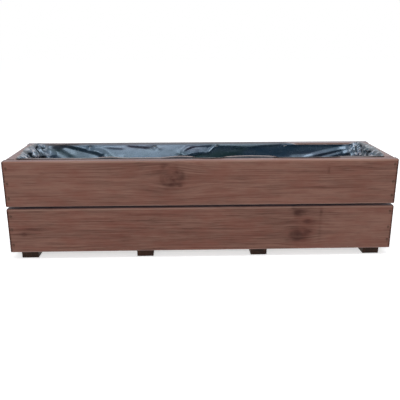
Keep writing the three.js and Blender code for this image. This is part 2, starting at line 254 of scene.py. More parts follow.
studio = {
    "floorSize": 30.0,  # metres
    "floorGap": 0.0002,  # under the feet
    "floorColor": (0.86, 0.86, 0.86, 1),
    "floorGlow": 0.6,  # only seen by the camera, so that the floor reads white
    "skyStrength": 0.5,
    "skyColor": (0.93, 0.97, 1.0, 1),
    "lamps": (
        # name, place, aim, width, depth, power
        ("overheadBox", (-0.05, -0.5, 2.6), (0.0, 0.0, 0.2), 1.6, 1.2, 34.0),
        ("frontBox", (-0.5, -3.2, 1.5), (0.0, 0.0, 0.15), 1.5, 1.0, 20.0),
        ("backBox", (0.8, 2.6, 2.2), (0.0, 0.0, 0.2), 2.2, 1.4, 6.0),
    ),
}


# 1 for the rays that see a surface directly or in a gloss, 0 for those that only bring light.
def seenMask(tree):
    ray = add(tree, "LightPath").outputs
    seen = Value(ray["Is Camera Ray"]).calc("MAXIMUM", Value(ray["Is Glossy Ray"]))
    return seen.calc("MAXIMUM", Value(ray["Is Transmission Ray"]))


def emptyTree(owner):
    owner.use_nodes = True
    owner.node_tree.nodes.clear()
    return owner.node_tree


def makeFloor():
    bpy.ops.mesh.primitive_plane_add(size=studio["floorSize"], location=(0, 0, 0))
    floor = bpy.context.object
    floor.name = "studioFloor"
    floor.location = (0, 0, -studio["floorGap"])
    material = bpy.data.materials.new("floorPaint")
    tree = emptyTree(material)
    paint = add(tree, "BsdfDiffuse", {"Color": studio["floorColor"]})
    glow = add(tree, "Emission", {"Strength": seenMask(tree) * studio["floorGlow"]})
    both = add(tree, "AddShader", {0: Value(paint.outputs[0]), 1: Value(glow.outputs[0])})
    add(tree, "OutputMaterial", {"Surface": Value(both.outputs[0])})
    floor.data.materials.append(material)


def makeSky():
    world = bpy.data.worlds.new("studioWorld")
    bpy.context.scene.world = world
    tree = emptyTree(world)
    soft = add(tree, "Background", {"Color": studio["skyColor"], "Strength": studio["skyStrength"]})
    white = add(tree, "Background", {"Color": (1, 1, 1, 1), "Strength": 1.0})
    mix = add(tree, "MixShader", {0: seenMask(tree), 1: Value(soft.outputs[0]), 2: Value(white.outputs[0])})
    add(tree, "OutputWorld", {"Surface": Value(mix.outputs[0])})


def makeLamps():
    for name, place, aim, width, depth, power in studio["lamps"]:
        data = bpy.data.lights.new(name, "AREA")
        data.shape = "RECTANGLE"
        data.size = width
        data.size_y = depth
        data.energy = power
        lamp = bpy.data.objects.new(name, data)
        lamp.location = place
        lamp.rotation_euler = (Vector(aim) - Vector(place)).to_track_quat("-Z", "Y").to_euler()
        bpy.context.scene.collection.objects.link(lamp)


makeCamera()
makeFloor()
makeSky()
makeLamps()
bpy.context.scene.view_settings.view_transform = "Standard"
print("camera and studio done")


woodAttributes = {
    "flow": "Vector",  # along the grain and round the knots
    "ring": "Float",  # distance from the tree's heart
    "knot": "Vector",  # the knot's mask, its own rings and its dark halo
    "edge": "Float", "mark": "Float", "stain": "Float",
}
woodTones = {"light": "Color", "dark": "Color", "red": "Color"}
woodStrengths = dict.fromkeys(("ringDensity", "ringStrength", "fibreStrength", "sawMarks"), "Float")


def newGroup(name, inputs, outputs):
    group = bpy.data.node_groups.new(name, "ShaderNodeTree")
    for side, sockets in (("INPUT", inputs), ("OUTPUT", outputs)):
        for key, kind in sockets.items():
            group.interface.new_socket(key, in_out=side, socket_type="NodeSocket" + kind)
    entry = group.nodes.new("NodeGroupInput")
    take = {key: Value(entry.outputs[key]) for key in inputs}
    return group, take, group.nodes.new("NodeGroupOutput")


# Softwood under a thin stain.
def makeWoodGroup():
    group, take, give = newGroup(
        "stainedSoftwood", {**woodAttributes, **woodTones, **woodStrengths},
        {"color": "Color", "roughness": "Float", "height": "Float"})
    flow = take["flow"]
    # growth rings: slow rise to dark late wood, then a sudden drop, with uneven spacing
    uneven = flow.cloud(scale=(0.8, 30, 30))
    saw = (uneven * 3.4 + take["ring"] * take["ringDensity"]).calc("FRACT")
    late = saw.calc("POWER", 2.6) * saw.spread(1.0, 0.9)
    late = late * flow.cloud(scale=(1.5, 9, 9), shift=(3, 1, 7)).spread(0.35, 0.68)
    # fibres: long fine streaks, and a few broad ones
    fine = flow.cloud(detail=3.0, rough=0.65, scale=(24, 950, 950))
    broad = flow.cloud(detail=3.0, rough=0.55, distortion=0.3, scale=(4.6, 120, 120), shift=(1, 5, 2))
    streak = flow.cloud(rough=0.6, distortion=0.2, scale=(11, 330, 330), shift=(4, 3, 9))
    patch = flow.cloud(detail=3.0, rough=0.6, scale=(14, 40, 40), shift=(7, 2, 4))
    pores = fine.spread(0.60, 0.74) * 0.55
    # the shade from light to dark
    shade = late * take["ringStrength"] + broad.spread(0.3, 0.72) * take["fibreStrength"] + pores
    shade = shade + (fine - 0.5) * 0.6 + (streak - 0.5) * 1.3 + take["stain"]
    color = shade.mix(take["light"], take["dark"])
    color = patch.spread(0.42, 0.68, 0.0, 0.55).mix(color, take["red"])
    # knots, with rings of their own and a dark halo
    knotMask, knotPlace, knotHalo = take["knot"].separate()
    knotRings = (knotPlace * 26.0).calc("SINE")
    knotShade = knotMask * (knotRings * 0.16 + 0.62) + knotHalo * 0.5
    color = knotShade.mix(color, screen(60, 28, 20))
    # marks, such as the stain that gathers round a nail, and along the edges a lighter tone that is wear and
    # a painted highlight
    color = (take["mark"] * 0.7).mix(color, screen(30, 18, 14))
    wornAndHighlit = take["edge"] * broad.spread(0.35, 0.7, 0.1, 0.5)
    color = wornAndHighlit.mix(color, mixColors(group, 0.5, take["light"], screen(190, 160, 145)))
    # late wood stands proud and is smoother, fibres and pores cut in, saw marks cross the grain
    cross = flow.cloud(scale=(420, 6, 6))
    feed(give, {
        "color": color,
        "roughness": fine * 0.16 + 0.42 + late * -0.08,
        "height": late * 0.5 + fine * 0.9 + pores * -0.5 + cross * take["sawMarks"],
    })
    return group


woodGroup = makeWoodGroup()


def woodMaterial(name, look):
    material, tree, shader = newMaterial(name)
    inputs = {key: attribute(tree, key, kind) for key, kind in woodAttributes.items()}
    inputs.update({key: screen(*look[key]) for key in woodTones})
    inputs.update({key: look[key] for key in woodStrengths})
    wood = add(tree, "Group", inputs, node_tree=woodGroup).outputs
    # a painted grey sheen on the upper faces, the pale shine that a low view gives them
    paintedSheen = attribute(tree, "upward") * look["paintedSheenTop"]
    feed(shader, {
        "Base Color": paintedSheen.mix(Value(wood["color"]), screen(*look["paintedSheen"])),
        "Roughness": Value(wood["roughness"]),
        "Normal": bumps(Value(wood["height"]), look["bump"], 0.6 * mm),
        "Specular IOR Level": look["shine"],
        "Coat Weight": look["film"],
        "Coat Roughness": 0.5,
        "Coat IOR": 1.28,
        "Sheen Weight": look["haze"],
        "Sheen Roughness": 0.4,
        "Sheen Tint": (0.45, 0.72, 1.0, 1),
    })
    return material


stainedLook = {
    "light": (129, 92, 79), "dark": (60, 30, 21), "red": (116, 68, 56),
    "ringDensity": 330.0,  # growth rings to a metre
    "ringStrength": 0.5, "fibreStrength": 0.4, "sawMarks": 0.0, "bump": 0.35, "shine": 0.1,
    "haze": 0.22,  # dry fibres, pale at a low angle
    "film": 0.4,  # the stain's own thin film
    "paintedSheen": (136, 122, 122), "paintedSheenTop": 0.0,  # the tone and share of the painted grey sheen on upper faces
}
sawnLook = dict(stainedLook, bump=0.6, haze=0.0, film=0.0)

stainedWood = woodMaterial("reddishBrownStain", stainedLook)
# the back and end boards: the same stain with a painted grey sheen on their upper faces
backWoodPaintedSheen = woodMaterial("backBoardStainPaintedSheen", dict(stainedLook, paintedSheenTop=0.85))
endWoodPaintedSheen = woodMaterial("endBoardStainPaintedSheen", dict(stainedLook, paintedSheen=(138, 112, 106), paintedSheenTop=0.6))
runnerWood = woodMaterial("darkSawnRunner", dict(
    sawnLook, light=(86, 58, 40), dark=(34, 20, 13), red=(66, 38, 24), sawMarks=0.8, shine=0.15))
hiddenWood = woodMaterial("thinStainSawn", dict(
    sawnLook, light=(158, 122, 98), dark=(98, 70, 54), red=(134, 92, 74), sawMarks=0.6, shine=0.2))


timber = {
    "arris": 5 * mm,  # round of the long edges
    "sawnArris": 1.2 * mm,
    "baseArris": 2 * mm,
    "faceStep": 1.9 * mm,  # between points across a face
    "lengthStep": 3.6 * mm,
    "endStep": 1.3 * mm,  # near the ends, where the nails are
    "endZone": 26 * mm,
    "arcSteps": 7,  # in a rounded edge
    "endEase": 0.5 * mm,  # sanded cut edges
    "endRough": 0.1 * mm,
    "wave": 0.16 * mm,  # unevenness left by the planer
    "fibreWave": 0.05 * mm,
    "knock": 2.4 * mm,  # the deepest knocks along the rounded edges
    "knotSink": 0.35 * mm,
    "knotStretch": 1.9,  # how much longer than high the grain's way round a knot is
    "knotPull": 0.8,
    "arrisStain": 0.3,  # stain that gathers along the rounded upper edge
    "endStain": 3.4 * mm,  # how far the cut ends soak it up
    "nailDish": 0.75 * mm,
    "nailReach": 3.5 * mm,
    "nailDrip": 2.5 * mm,  # how far the dark mark's middle hangs under the nail
    "heart": (0.055, -0.018),  # the tree's heart, off the board's middle: through it and up
    "taper": 0.004,
    "sharpAngle": 42,  # degrees: steeper edges stay sharp
    "firstSeed": 18, "nextSeed": 7,  # each board draws its own noise
}


# A rounded rectangle walked once round, counterclockwise: points, outward normals, 1 on the
# rounded edges, and the point of the middle line that each point shrinks to.
def roundedSection(sizeP, sizeQ, radius):
    halfP, halfQ = sizeP / 2, sizeQ / 2
    flats = [(halfP, halfQ - radius, 0), (halfQ, halfP - radius, 90),
             (halfP, halfQ - radius, 180), (halfQ, halfP - radius, 270)]
    corners = [(1, 1), (-1, 1), (-1, -1), (1, -1)]
    points, normals, edge = [], [], []
    for (out, reach, turn), (signP, signQ) in zip(flats, corners):
        steps = max(2, round(2 * reach / timber["faceStep"]))
        along = np.linspace(-reach, reach, steps + 1)
        angle = math.radians(turn)
        normal = np.array([math.cos(angle), math.sin(angle)])
        side = np.array([-normal[1], normal[0]])
        points.append(normal * out + along[:, None] * side)
        normals.append(np.tile(normal, (len(along), 1)))
        edge.append(np.zeros(len(along)))
        bend = angle + np.linspace(0, math.pi / 2, timber["arcSteps"] + 1)[1:-1]
        around = np.stack([np.cos(bend), np.sin(bend)], axis=1)
        middle = np.array([signP * (halfP - radius), signQ * (halfQ - radius)])
        points.append(middle + radius * around)
        normals.append(around)
        edge.append(np.ones(len(bend)))
    points, normals = np.concatenate(points), np.concatenate(normals)
    short = min(halfP, halfQ)
    middle = np.clip(points, [short - halfP, short - halfQ], [halfP - short, halfQ - short])
    return points, normals, np.concatenate(edge), middle


# Stations along a board, fine near both ends and wider between, with the end faces' rings: their
# places, and how far each shrinks to the middle line.
def boardStations(length, halfThick):
    zone = min(timber["endZone"], length / 4)
    close = np.linspace(0, zone, max(3, round(zone / timber["endStep"])) + 1) - length / 2
    steps = max(2, round((length - 2 * zone) / timber["lengthStep"]))
    between = np.linspace(zone, length - zone, steps + 1) - length / 2
    stations = np.concatenate([close, between[1:-1], -close[::-1]])
    rings, ease = [1.0, 0.75, 0.5, 0.25, 0.08], timber["endEase"]
    stations[1], stations[-2] = stations[0] + ease, stations[-1] - ease
    place, eased = np.pad(stations, len(rings), mode="edge"), [ease / halfThick]
    shrink = rings + eased + [0.0] * (len(stations) - 2) + eased + rings[::-1]
    return place, np.array(shrink)


# The grain's flow across a face: lines part round each knot as water does round a pile, and a
# knot is a little longer than high. Returns the moved cross place, and the knot's mask, its own
# ring place and its halo.
def flowRound(along, across, knots):
    moved = across.copy()
    mask, rings, halo = np.zeros((3,) + across.shape)
    for place, height, radius, darkness in knots:
        da, dc = (along - place) / timber["knotStretch"], across - height
        square = da * da + dc * dc
        moved -= dc * radius ** 2 * timber["knotPull"] / np.maximum(square + radius ** 2 * 1.2, 1e-9)
        near = np.sqrt(((along - place) / 1.25) ** 2 + dc * dc) / radius
        inside = 1 - smoothStep(0.62, 0.92, near)
        mask = np.maximum(mask, inside * darkness)
        rings = np.where(inside > 0, near, rings)
        halo = np.maximum(halo, np.exp(-np.maximum(near - 0.9, 0) * 1.9) * darkness * (near > 0.7))
    return moved, mask, rings, halo


# A grown-over knot: curved dark strokes inside a disc, from noise in polar places.
def swirlOn(along, across, swirls, seed):
    total = np.zeros(across.shape)
    for place, height, radius, strength in swirls:
        da, dc = along - place, across - height
        near = np.hypot(da, dc) / radius + 0.25 * softNoise(da * 60, dc * 60, 0.5, seed)
        angle = np.arctan2(dc, da)
        strokes = softNoise(near * 3.1, 1.5 * np.cos(angle), 1.5 * np.sin(angle), seed + 1)
        total = total + strength * smoothStep(1.15, 0.6, near) * (0.35 + np.maximum(0, 2.4 * strokes))
    return total


# Stain, and one painted light: each tone is a soft oval with a warped outline, the cut ends soak up
# more, and the rest varies slowly. The lighter tone on the front board's top face is painted light.
def stainOn(along, across, tones, toEnd, seed):
    warp = 0.35 * softNoise(along * 14, across * 40, 0.5 * along, seed)
    warp = warp + 0.4 * softNoise(along * 90, across * 120, 0.5 * along, seed + 2)
    total = 1.6 * np.exp(-(toEnd / timber["endStain"]) ** 2)
    total = total + 0.16 * softNoise(along * 4.5, across * 12, 0.4 * along, seed + 1)
    for place, height, halfLong, halfHigh, strength in tones:
        away = np.hypot((along - place) / halfLong, (across - height) / halfHigh) + warp
        total = total + strength * np.exp(-np.maximum(away, 0) ** 2)
    return total


# The dish round each nail, and the dark mark that runs down from it.
def nailMarks(along, across, facing, nails):
    dish, mark = np.zeros((2,) + along.shape)
    reach = timber["nailReach"]
    for place, height, side in nails:
        away = np.hypot(along - place, across - height)
        drip = np.hypot(along - place, (across - height + timber["nailDrip"]) * 0.5)
        seen = facing * side > 0
        dish = dish + seen * timber["nailDish"] * (1 - smoothStep(0.75 * reach, reach, away))
        mark = np.maximum(mark, seen * (1 - smoothStep(0.6 * reach, 1.25 * reach, away)))
        mark = np.maximum(mark, seen * 0.35 * (1 - smoothStep(1.2 * mm, 4 * mm, drip)))
    return dish, mark


# One board: a rounded section carried along its length, with its end grain faces closed to the
# middle line. Its surface only ever moves inwards, so it stays inside the solid it stands for.
# Noise is drawn at places in metres times a number: the larger, the finer.
def makeBoard(node, axis, radius, seed, material, nails=(), rough=1.0):
    low, high = (np.array(corner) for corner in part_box(node))
    centre, size = (low + high) / 2, high - low
    axisP, axisQ = (axis + 1) % 3, (axis + 2) % 3
    wide = axisQ if size[axisQ] > size[axisP] else axisP

    def local(rows):
        return [(row[0] - centre[axis], row[1] - centre[wide], *row[2:]) for row in rows]

    points, normals, edge, middle = roundedSection(size[axisP], size[axisQ], radius)
    place, shrink = boardStations(size[axis], min(size[axisP], size[axisQ]) / 2)
    share, onCap = shrink[:, None, None], shrink[:, None] > 0
    flat = points[None] * (1 - share) + middle[None] * share
    p, q = flat[..., 0], flat[..., 1]
    along = np.broadcast_to(place[:, None], p.shape)
    across, through = (q, p) if wide == axisQ else (p, q)
    moved, mask, rings, halo = flowRound(along, across, local(boardKnots.get(node, ())))
    heartThrough, heartAcross = timber["heart"]
    drift = 0.0025 * softNoise(along * 3.1, across * 9, through * 9, seed)
    drift = drift + 0.0012 * softNoise(along * 11, across * 30, through * 30, seed + 1)
    ring = np.hypot(through - heartThrough, moved - heartAcross) + timber["taper"] * along + drift
    # planer waves, drying hollows beside the rings, knocked edges, dished knots and nails
    wave = 1 + softNoise(along * 9, across * 26, through * 26, seed + 2)
    fibreWave = 1 + softNoise(along * 40, across * 240, through * 240, seed + 3)
    relief = rough * (timber["wave"] * wave + timber["fibreWave"] * fibreWave) + timber["knotSink"] * mask
    knock = np.maximum(0, softNoise(along * 46, across * 20, through * 20, seed + 4) - 0.62)
    dish, mark = nailMarks(along, across, through * ~onCap, local(nails))
    relief = (relief + knock * timber["knock"] * edge[None] + dish) * ~onCap
    sink = onCap * timber["endRough"] * (1 + softNoise(p * 900, q * 900, seed, seed + 5))
    surface = np.zeros(p.shape + (3,))
    surface[..., axisP] = centre[axisP] + p - normals[None, :, 0] * relief
    surface[..., axisQ] = centre[axisQ] + q - normals[None, :, 1] * relief
    surface[..., axis] = centre[axis] + along - np.sign(along) * sink
    shift = softNoise(np.array([seed * 1.7, seed * 2.3, seed * 3.1]), 0.5, 0.5, seed) * 7
    upward = {0: normals[:, 1], 1: normals[:, 0], 2: np.zeros(len(normals))}[axis]
    facingUp = upward * edge
    gathered = timber["arrisStain"] * np.exp(-((facingUp - 0.25) / 0.22) ** 2) * edge * (facingUp > 0)
    toEnd = size[axis] / 2 - np.abs(along) + 3 * mm * onCap
    # stain from the tones, one of them painted light on the front board's top face
    stain = stainOn(along, across, local(boardTones.get(node, ())), toEnd, seed + 8)
    stain = stain + swirlOn(along, across, local(boardSwirls.get(node, ())), seed + 12)
    mesh = gridMesh(node + "_timber", surface, {
        "flow": np.stack([along + shift[0], through + shift[1] * 0.1, moved + shift[2] * 0.1], axis=-1),
        "ring": ring,
        "knot": np.stack([mask, rings, halo], axis=-1),
        "edge": edge[None] * ~onCap,
        "mark": mark,
        # how much each point faces up, for the painted grey sheen on upper faces
        "upward": smoothStep(0.2, 0.9, upward)[None] * ~onCap,
        "stain": stain + gathered[None] * ~onCap,
    })
    keepCorners(mesh, timber["sharpAngle"])
    return addPiece(node + "_timber", mesh, material, [node])


# Nails as (place along, height, side of the board they go in from), from their own nodes.
def nailsOf(prefix):
    found = []
    for name in sorted(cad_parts):
        if name.startswith(prefix):
            low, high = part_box(name)
            centre = (low + high) / 2
            found.append((centre.x, centre.z, 1 if "back" in name else -1))
    return found


# Knots: place along, height, radius, darkness, in metres in the object's frame.
boardKnots = {
    "front_upper_board": [
        (-0.0646, 0.2312, 0.005, 0.5), (-0.0566, 0.198, 0.0045, 0.5), (-0.082, 0.215, 0.026, 0.30)],
    "front_lower_board": [
        (0.236, 0.134, 0.004, 0.6), (0.248, 0.122, 0.0055, 0.5), (0.2757, 0.0967, 0.006, 0.55),
        (0.248, 0.060, 0.014, 0.35), (0.2747, 0.066, 0.007, 0.5), (-0.461, 0.070, 0.0055, 0.5)],
    "back_upper_board": [(0.31, 0.214, 0.008, 0.9), (-0.22, 0.180, 0.005, 0.8)],
    "back_lower_board": [
        (-0.12, 0.082, 0.009, 0.8), (0.36, 0.060, 0.005, 0.9), (0.02, 0.118, 0.004, 0.8)],
    "left_upper_end_board": [(0.03, 0.222, 0.006, 0.9)],
    "right_lower_end_board": [(-0.04, 0.07, 0.007, 0.8)],
}

# Darker (+) and lighter (-) areas: place along, height, half length, half height, strength.
boardTones = {
    "front_upper_board": [
        (-0.080, 0.215, 0.036, 0.032, 0.2), (-0.13, 0.25, 0.09, 0.02, 0.22),
        (-0.0646, 0.2312, 0.008, 0.009, 0.22), (-0.050, 0.229, 0.006, 0.008, 0.3),
        (-0.0566, 0.198, 0.008, 0.006, 0.2), (-0.0965, 0.249, 0.010, 0.005, 0.3),
        # the -0.5 tone at height 0.264 is painted light, brightening the right part of the top face
        (0.28, 0.264, 0.24, 0.010, -0.5), (0.40, 0.165, 0.16, 0.03, -0.10),
        (0.322, 0.236, 0.0028, 0.010, 0.45)],
    "front_lower_board": [
        (-0.10, 0.09, 0.16, 0.05, 0.12), (0.262, 0.07, 0.036, 0.045, 0.18),
        (0.245, 0.126, 0.02, 0.012, 0.2), (0.248, 0.060, 0.020, 0.015, 0.42),
        (0.2747, 0.0658, 0.009, 0.011, 0.5), (0.2757, 0.0967, 0.009, 0.006, 0.4),
        (0.296, 0.0945, 0.016, 0.004, 0.3), (0.248, 0.122, 0.012, 0.007, 0.3),
        (0.2354, 0.1357, 0.006, 0.004, 0.4), (0.309, 0.09, 0.0035, 0.045, 0.16),
        (0.40, 0.085, 0.08, 0.05, -0.16), (-0.455, 0.075, 0.03, 0.03, 0.15),
        (0.310, 0.125, 0.0028, 0.009, 0.3)],
}

# Swirls of dark strokes: place along, height, radius, strength.
boardSwirls = {
    "front_upper_board": [(-0.080, 0.217, 0.034, 0.24)],
    "front_lower_board": [(0.252, 0.062, 0.024, 0.14)],
    "back_lower_board": [(-0.118, 0.083, 0.022, 0.3)],
}


def makeTimber():
    arris, baseArris, sawnArris = timber["arris"], timber["baseArris"], timber["sawnArris"]
    boards = []  # node, axis along, round of its edges, material, slot, nails, roughness
    for side, wood in (("front", stainedWood), ("back", backWoodPaintedSheen)):
        for tier in ("upper", "lower"):
            nails = nailsOf(f"nail_{side}_left_{tier}") + nailsOf(f"nail_{side}_right_{tier}")
            boards.append((f"{side}_{tier}_board", 0, arris, wood, "stained_timber", nails, 1.0))
    for end in ("left", "right"):
        for tier in ("upper", "lower"):
            boards.append((f"{end}_{tier}_end_board", 1, arris, endWoodPaintedSheen, "stained_timber", (), 1.0))
    for i in (1, 2):
        boards.append((f"base_board_{i}", 0, baseArris, hiddenWood, "base_timber", (), 1.6))
    for i in (1, 2, 3, 4):
        boards.append((f"foot_runner_{i}", 1, sawnArris, runnerWood, "foot_timber", (), 2.2))
    for side in ("front", "back"):
        for end in ("left", "right"):
            node = f"corner_batten_{side}_{end}"
            boards.append((node, 2, sawnArris, hiddenWood, "base_timber", (), 1.6))
    for count, (node, axis, radius, wood, slotName, nails, rough) in enumerate(boards):
        seed = timber["firstSeed"] + timber["nextSeed"] * count
        makeBoard(node, axis, radius, seed, wood, nails, rough)


makeTimber()
print("timber done")


def metalMaterial(name, tone, dullTone, roughness):
    material, tree, shader = newMaterial(name)
    place = Value(add(tree, "TexCoord").outputs["Object"])
    tarnish = place.cloud(420.0, 4.0, 0.6)
    feed(shader, {
        "Base Color": tarnish.spread(0.4, 0.65).mix(screen(*tone), screen(*dullTone)),
        "Roughness": tarnish * 0.3 + roughness,
        "Normal": bumps(place.cloud(1600.0), 0.3, 0.2 * mm),
        "Metallic": 0.9,
    })
    return material


nailSteel = metalMaterial("stainedOverNail", (104, 78, 66), (62, 44, 36), 0.4)
screwZinc = metalMaterial("yellowZincScrew", (206, 180, 118), (140, 118, 72), 0.26)
for nodeName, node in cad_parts.items():
    metal = nailSteel if nodeName.startswith("nail_") else screwZinc if "screw" in nodeName else None
    if metal:
        node.data.materials.clear()
        node.data.materials.append(metal)

# Places on a wall are (along, depth) in mm: along is X on the front and back walls and Y on the
# ends, depth runs down from the rim.
film = {
    "halfLong": 471.0,  # mm, the film's own line just inside the boards
    "halfWide": 99.0,
    "cornerRound": 8.0,
    "arris": 5.0,  # round of the boards' edges
    "clear": 1.0,  # between the film and the boards
    "thick": 0.35,
    "columnStep": 4.0,
    "endStep": 2.6,
    "fine": (20.0, 54.0),  # part of the back wall with closer columns
    "fineStep": 1.6,
    "hemRows": 8,  # rows of points over the boards' edge
    "rowStep": 2.3,  # from the edge down to shownDepth, below which the photo shows no film
    "shownDepth": 56.0,
    "lowerRows": 14,
    "bendRows": 6,
    "floorRows": 10,
    "medialEnd": 372.0,  # X of the ends of the floor's middle line
    "floorRound": 16.0,
    "floorHigh": 39.6,  # above the ground, on the base boards
    "belowAll": 220.0,  # the depth that the floor's points are given
    "drainRadius": 4.5,
    "drainPitch": 180.0,
    "drainCount": 5,
    "battenTop": 30.0,  # depth of the battens' upper ends
    "battenSide": 432.0,  # inner corner of the battens, with room for the film
    "battenFace": 80.4,
    "crushed": (436.0, 466.0),  # X where the crushed film begins and is at its full
    "deepest": 27.0,  # how far the long walls' film may stand in
    "deepestEnd": 42.0,
    "endZone": 415.0,  # X past which the deeper limit holds
    "hemLift": 1.3,  # how far the hem may stand off the boards' upper edges
    "hemCurl": 1.6,  # how far the upright hem's last edge curls in
    "pinDepth": 8.0,  # the staples, below the rim
    "pinReach": 7.0,  # how far round a staple the film is held down
}

# how steeply the film leans in from the rim: (along, slope)
leans = {
    "back": [(-471, 0.20), (-300, 0.22), (-180, 0.24), (-60, 0.22), (-10, 0.12), (40, 0.02), (60, -0.01),
             (270, 0.0), (330, 0.03), (471, 0.10)],
    "front": [(-471, 0.16), (-250, 0.05), (-60, 0.14), (120, 0.04), (300, 0.15), (471, 0.12)],
    "left": [(-99, 0.22), (0, 0.30), (99, 0.2)],
    "right": [(-99, 0.2), (0, 0.32), (99, 0.26)],
}

# how far the film goes on above the flat of the wall, over the rounded edge: (along, mm)
hems = {
    "back": [(-471, 12), (-450, 9), (-436, 8.5), (-350, 8.5), (-330, 11), (-300, 11), (-180, 12), (-60, 11),
             (48, 13), (150, 12), (240, 11), (262, 6), (285, 1), (440, 1), (456, 6), (471, 10)],
    "front": [(-471, 8), (-300, 7.6), (-238, 8.2), (-150, 7.6), (-57, 8.6), (-24, 9), (20, 15), (58, 9),
              (122, 8.6), (180, 9), (200, 12), (270, 14), (340, 12), (360, 8), (471, 8)],
    "left": [(-99, 9), (-60, 9), (-20, 14), (20, 18), (60, 17), (99, 19)],
    "right": [(-99, 11), (-60, 17), (0, 20), (60, 18), (99, 14)],
}

# how upright the hem stands: 0 lies over the board's edge, 1 stands straight up: (along, share)
uprights = {
    "back": [(-471, 0), (-452, 0.3), (-440, 1), (-352, 1), (-332, 0), (471, 0)],
    "front": [(-471, 0.5), (-440, 0.9), (-28, 1), (-14, 0.1), (50, 0.1), (66, 1), (180, 1), (194, 0.1),
              (345, 0.1), (360, 0.9), (440, 0.9), (471, 0.5)],
    "left": [(-99, 0.2), (99, 0)],
    "right": [(-99, 0.1), (99, 0)],
}

# A fold is a ridge from one place to another. Its middle is moved up by bow, it stands high mm
# off the film, rises over above mm on its upper side and falls over below mm under it.
folds = [
    # wall, from, to, bow, high, above, below
    ("back", (-480, -2), (-396, -1), 0, 5.4, 5, 11),
    ("back", (-402, -4), (-284, 25), 1, 4.8, 20, 8),
    ("back", (-290, 24), (-236, 62), 0, 3.4, 14, 9),
    ("back", (-458, 8), (-404, 10), 0, 1.2, 8, 8),
    ("back", (-412, 8), (-366, 33), 2, 1.1, 12, 9),
    ("back", (-302, 4), (-222, 11), -1, 0.8, 9, 5),
    ("back", (-240, -1), (-198, 2), 0, 0.9, 6, 4),
    ("back", (-204, 2), (-150, 7), 0, 2.5, 8, 6),
    ("back", (-150, 7), (-110, 12), 0, 0.5, 8, 6),
    ("back", (-66, 22), (-52, 30), 0, 0.8, 8, 9),
    ("back", (-54, 31), (-22, 8), 4, 2.6, 9, 5),
    ("back", (-24, 7), (46, 1), -2, 1.0, 7, 5),
    ("back", (-50, 34), (-12, 25), 0, 5.0, 10, 8),
    ("back", (-14, 27), (24, 27), 2, 4.0, 14, 8),
    ("back", (24, 26), (49, 2), 0, 5.2, 5.2, 2.2),
    ("back", (46, 7), (150, 11), 1, 5.0, 11, 3.5),
    ("back", (150, 10), (236, 3), 1, 3.4, 8, 3.5),
    ("back", (60, 30), (120, 24), 0, 0.5, 6, 8),
    ("back", (246, 8), (258, 9), 0, 2.0, 3, 3),
    ("back", (262, 4), (452, 4), 0, 2.6, 2, 6),
    ("back", (302, 46), (478, 10), 3, 4.4, 7, 7),
    ("back", (362, 47), (480, 18), 2, 4.0, 6, 7),
    ("back", (270, 48), (340, 45), 0, 3.6, 12, 8),
    ("back", (428, 22), (434, 42), 0, 3.0, 6, 6),
    ("left", (60, -2), (50, 30), 0, 5.0, 10, 8),
    ("left", (-4, -4), (38, 28), 0, 6.0, 12, 7),
    ("left", (-40, 0), (-10, 34), 0, 4.0, 10, 8),
    ("left", (92, 0), (80, 24), 0, 4.0, 8, 6),
    ("left", (-85, 0), (-60, 30), 0, 4.0, 9, 9),
    ("right", (0, 0), (-30, 34), 0, 6.0, 10, 7),
    ("right", (58, 0), (20, 36), 0, 6.0, 10, 8),
    ("right", (100, 2), (66, 32), 0, 6.0, 9, 8),
    ("right", (-60, -4), (-80, 30), 0, 5.0, 9, 7),
]

highlightCreaseLine = ("back", (27, 23), (49, 3), 0, 1, 2.4, 2.4)  # a painted highlight along a sharp crease

# painted lilac sheen, in grey lilac patches: wall, along, depth, half length, half depth, strength
paintedSheenTints = [
    ("back", -170, 9, 85, 8, 0.9), ("back", -420, 8, 40, 9, 0.7), ("back", -24, 12, 40, 9, 0.7),
    ("back", 160, 3, 70, 5, 0.35), ("back", 350, 34, 60, 10, 0.3), ("left", 40, 20, 40, 20, 0.6),
    ("right", 30, 20, 50, 20, 0.5), ("front", -100, 90, 200, 30, 0.4), ("front", 250, 60, 150, 30, 0.4),
]

# places where the front hem stands off the board: (along, half length, mm)
standOffs = [(-238, 46, 11), (-57, 58, 12), (122, 80, 12)]

# where the staples are, along each wall
pins = {
    "back": (-318, -132, 50, 252, 448),
    "front": (-430, -300, -180, 18, 236, 330, 440),
    "left": (-70, 20, 88),
    "right": (-82, -10, 78),
}


# Distance round the rim, from the front left corner, counterclockwise.
def roundRim(wall, along):
    longSide, shortSide = film["halfLong"], film["halfWide"]
    starts = {
        "front": longSide + along,
        "right": 2 * longSide + shortSide + along,
        "back": 3 * longSide + 2 * shortSide - along,
        "left": 4 * longSide + 3 * shortSide - along,
    }
    return starts[wall]


def rimLength():
    return 4 * (film["halfLong"] + film["halfWide"])


# How far each place round the rim is from one of them, the shorter way.
def aroundFrom(start, s):
    return (s - start + rimLength() / 2) % rimLength() - rimLength() / 2


def drainPlaces():
    return (np.arange(film["drainCount"]) - (film["drainCount"] - 1) / 2) * film["drainPitch"]


# The places round the rim that get a column of points: even steps along each wall, and closer
# ones at the sharp crease and where columns meet the rim of each drain hole.
def filmColumns():
    longSide, shortSide = 2 * film["halfLong"], 2 * film["halfWide"]
    starts = [0, longSide, longSide + shortSide, 2 * longSide + shortSide]
    walls = zip(starts, [longSide, shortSide] * 2, [film["columnStep"], film["endStep"]] * 2)
    even = [first + np.linspace(0, run, 2 * round(run / step / 2) + 1)[:-1] for first, run, step in walls]
    even = np.concatenate(even)
    close = (drainPlaces()[:, None] + film["drainRadius"] * np.cos(np.linspace(0, math.pi, 9))).reshape(-1)
    sharp = roundRim("back", np.arange(*film["fine"], film["fineStep"]))
    fixed = np.concatenate([roundRim("front", close), roundRim("back", close), sharp])
    gap = np.abs(even[:, None] - fixed[None]).min(axis=1)
    return np.sort(np.concatenate([even[gap > 1.5], fixed]))


